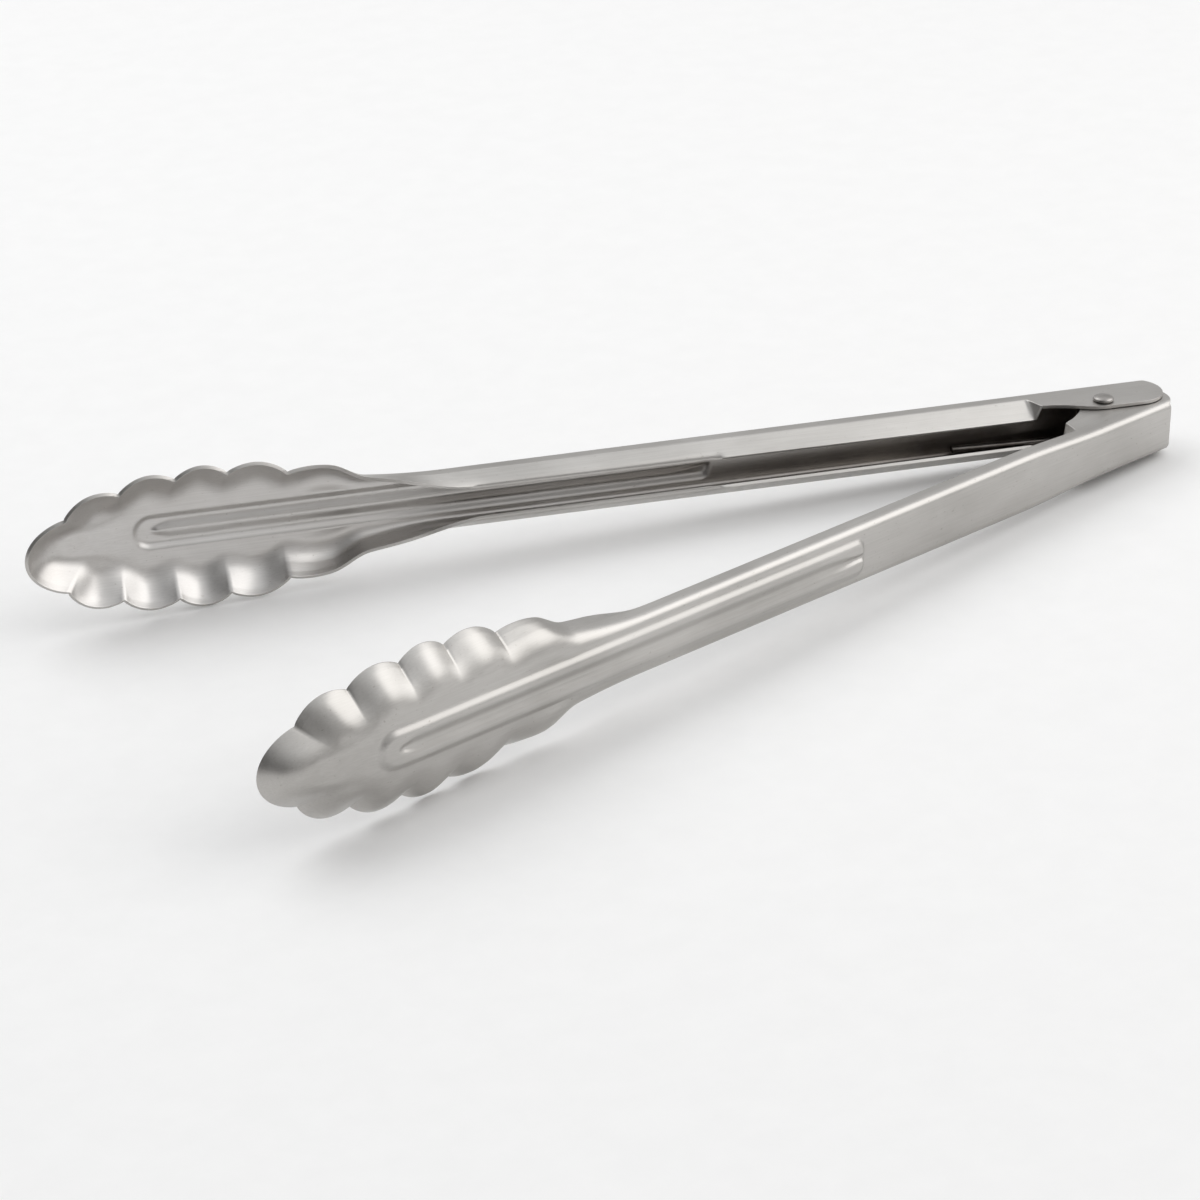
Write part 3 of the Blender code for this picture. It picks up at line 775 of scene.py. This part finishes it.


def brushed_steel(name, side, bright, dull, rough, hinge_shade=None):
    """Brush lines along the arm, cloudy colour, and painted shade that deepens to the hinge."""
    m = Nodes(name, arm_place(side))
    lines = m.noise(1.0, 5.0, 0.62, (55.0, 3200.0, 3200.0))
    fine = m.noise(1.0, 3.0, 0.5, (240.0, 9000.0, 9000.0), 3.7)
    cloud = m.noise(34.0, 5.0, 0.6, (0.7, 1.3, 1.3), 1.3)
    colour = m.ramp(cloud, (0.30, dull), (0.62, bright))
    streak = m.ramp(lines, (0.30, (0.86, 0.855, 0.85)), (0.66, (1.0, 1.0, 1.0)))
    colour = m.multiply(colour, streak, 0.75)
    pits = m.ramp(m.noise(1500.0, 2.0, 0.5, (0.6, 1.0, 1.0), 5.9),
                  (0.24, (0.80, 0.785, 0.77)), (0.31, (1.0, 1.0, 1.0)))
    colour = m.multiply(colour, pits)
    # painted shade: the colour darkens towards the hinge, where the channel and the ears shade
    # the inside
    if hinge_shade:
        split = m.tree.nodes.new("ShaderNodeSeparateXYZ")
        m.link(m.place, split.inputs["Vector"])
        shade_along = m.add(split.outputs["X"], m.remap(cloud, 0.3, 0.7, -HINGE_SHADE_SPREAD, HINGE_SHADE_SPREAD))
        shade = m.ramp(m.remap(shade_along, HINGE_SHADE_START, HINGE_SHADE_FULL, 0.0, 1.0), *hinge_shade)
        colour = m.multiply(colour, shade)
    m.link(colour, m.shader.inputs["Base Color"])
    m.shader.inputs["Metallic"].default_value = 1.0
    uneven = m.add(m.remap(cloud, 0.3, 0.7, rough[0], rough[1]),
                   m.remap(lines, 0.3, 0.7, -0.03, 0.05))
    m.link(uneven, m.shader.inputs["Roughness"])
    normal = m.bump(lines, 0.000004, 0.8)
    normal = m.bump(fine, 0.000002, 0.8, normal)
    m.link(normal, m.shader.inputs["Normal"])
    return m.material


def small_steel(name, bright, dull, rough):
    """Plain steel of the rivet and the spring, with specks and faint drawing marks."""
    m = Nodes(name)
    specks = m.noise(900.0, 6.0, 0.65)
    cloud = m.noise(260.0, 4.0, 0.6, (1.0, 1.0, 1.0), 2.2)
    m.link(m.ramp(cloud, (0.32, dull), (0.64, bright)), m.shader.inputs["Base Color"])
    m.shader.inputs["Metallic"].default_value = 1.0
    m.link(m.remap(specks, 0.3, 0.7, rough[0], rough[1]), m.shader.inputs["Roughness"])
    m.link(m.bump(specks, 0.00003, 0.6), m.shader.inputs["Normal"])
    return m.material


def arm_steel(side, name):
    """The outside and the inside of one arm's sheet; the inside is a lighter copy of the steel
    with painted shade towards the hinge.
    """
    outside = brushed_steel(name + "_outside", side, (0.56, 0.545, 0.525),
                            (0.465, 0.45, 0.43), (0.32, 0.40))
    # painted light: the inside's colours are a lighter copy of the outside's, and its last
    # stops are painted shade near the hinge
    inside = brushed_steel(name + "_inside", side, (0.68, 0.665, 0.65),
                           (0.57, 0.55, 0.53), (0.30, 0.40),
                           [(0.0, (1.0, 1.0, 1.0)), (0.4, (0.95, 0.945, 0.94)),
                            (0.85, (0.76, 0.73, 0.70)), (1.0, (0.40, 0.37, 0.35))])
    return outside, inside


RIVET = small_steel("rivet_steel", (0.40, 0.385, 0.37), (0.29, 0.275, 0.26), (0.28, 0.42))
SPRING = small_steel("drawn_spring_wire", (0.34, 0.32, 0.30), (0.22, 0.20, 0.185), (0.30, 0.46))

# ---------------------------------------------------------------- pieces
outer_arm = make_arm("outer_arm_sheet", 1, *arm_steel(1, "outer_arm_steel"))
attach(outer_arm, "outer_arm_body")
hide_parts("outer_arm")

inner_arm = make_arm("inner_arm_sheet", -1, *arm_steel(-1, "inner_arm_steel"))
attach(inner_arm, "inner_arm_body")
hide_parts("inner_arm")

rivet = make_rivet(RIVET)
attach(rivet, "outer_arm_body")
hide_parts("pivot_rivet")

spring = make_spring(SPRING)
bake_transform(spring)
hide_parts("torsion_spring")

# ---------------------------------------------------------------- floor
FLOOR_RADIUS = 6.0
FLOOR_DROP = 0.0003         # the floor lies this far below the part

floor_material = Nodes("pale_floor")
grain = floor_material.noise(90.0, 4.0, 0.6)
pale = floor_material.ramp(grain, (0.35, (0.925, 0.92, 0.915)), (0.65, (0.94, 0.935, 0.93)))
floor_material.link(pale, floor_material.shader.inputs["Base Color"])
floor_material.shader.inputs["Roughness"].default_value = 0.75
floor_material.shader.inputs["Specular IOR Level"].default_value = 0.15
floor_mesh = bpy.data.meshes.new("floor")
work = bmesh.new()
bmesh.ops.create_circle(work, cap_ends=True, segments=96, radius=FLOOR_RADIUS)
work.to_mesh(floor_mesh)
work.free()
floor = new_object("floor", floor_mesh, floor_material.material)
floor.location = (0.0, 0.0, cad_low[2] - FLOOR_DROP)

# ---------------------------------------------------------------- light
def panel(name, place, width, height, power, colour):
    """A soft rectangular light that faces the middle of the part."""
    data = bpy.data.lights.new(name, "AREA")
    data.shape = "RECTANGLE"
    data.size = width
    data.size_y = height
    data.energy = power
    data.color = colour
    item = bpy.data.objects.new(name, data)
    bpy.context.scene.collection.objects.link(item)
    item.location = place
    item.rotation_euler = (-Vector(place)).to_track_quat("-Z", "Y").to_euler()


panel("key_right", (1.15, -0.55, 0.95), 1.6, 1.3, 9.5, (1.0, 0.993, 0.98))
panel("top", (-0.5, 0.9, 1.35), 1.8, 1.4, 12.0, (0.985, 0.993, 1.0))

world = bpy.data.worlds.new("studio")
bpy.context.scene.world = world
world.use_nodes = True
tree = world.node_tree
background = tree.nodes["Background"]
direction = tree.nodes.new("ShaderNodeTexCoord")
split = tree.nodes.new("ShaderNodeSeparateXYZ")
tree.links.new(direction.outputs["Generated"], split.inputs["Vector"])


def world_ramp(source, low, high, *stops):
    """Colours along one component of the view direction."""
    span = tree.nodes.new("ShaderNodeMapRange")
    span.inputs["From Min"].default_value = low
    span.inputs["From Max"].default_value = high
    tree.links.new(source, span.inputs["Value"])
    ramp = tree.nodes.new("ShaderNodeValToRGB")
    fill_ramp(ramp, stops)
    tree.links.new(span.outputs["Result"], ramp.inputs["Fac"])
    return ramp.outputs["Color"]


sky = world_ramp(split.outputs["Z"], 0.0, 1.0,
                 (0.0, (0.50, 0.495, 0.49)), (0.45, (0.56, 0.56, 0.56)),
                 (0.75, (0.84, 0.845, 0.85)), (1.0, (0.80, 0.815, 0.83)))
across = world_ramp(split.outputs["X"], -1.0, 1.0,
                    (0.0, (0.16, 0.16, 0.16)), (0.25, (0.22, 0.22, 0.22)),
                    (0.5, (0.95, 0.95, 0.95)), (1.0, (1.0, 1.0, 1.0)))
blend = tree.nodes.new("ShaderNodeMix")
blend.data_type = "RGBA"
blend.blend_type = "MULTIPLY"
blend.inputs["Factor"].default_value = 1.0
tree.links.new(sky, blend.inputs["A"])
tree.links.new(across, blend.inputs["B"])
tree.links.new(blend.outputs["Result"], background.inputs["Color"])
background.inputs["Strength"].default_value = 1.1

# ---------------------------------------------------------------- camera
# solved from the outlines in the photo, in the hinge's own axes
CAMERA_RIGHT = (0.8588147, -0.5122587, 0.0053281)
CAMERA_DOWN = (-0.2170268, -0.3732327, -0.9019959)
CAMERA_AHEAD = (0.4640439, 0.7734910, -0.4317116)
CAMERA_PLACE = (-0.582118, -0.708899, 0.382261)

lens = bpy.data.cameras.new("camera")
lens.lens = 109.74
lens.sensor_width = 36.0
lens.clip_end = 20.0
camera = bpy.data.objects.new("camera", lens)
bpy.context.scene.collection.objects.link(camera)
columns = [CAMERA_RIGHT, [-x for x in CAMERA_DOWN], [-x for x in CAMERA_AHEAD], CAMERA_PLACE]
turn = Matrix([[columns[c][r] for c in range(4)] for r in range(3)] + [[0.0, 0.0, 0.0, 1.0]])
camera.matrix_world = TONGS @ turn
bpy.context.scene.camera = camera
bpy.context.scene.view_settings.view_transform = "Standard"
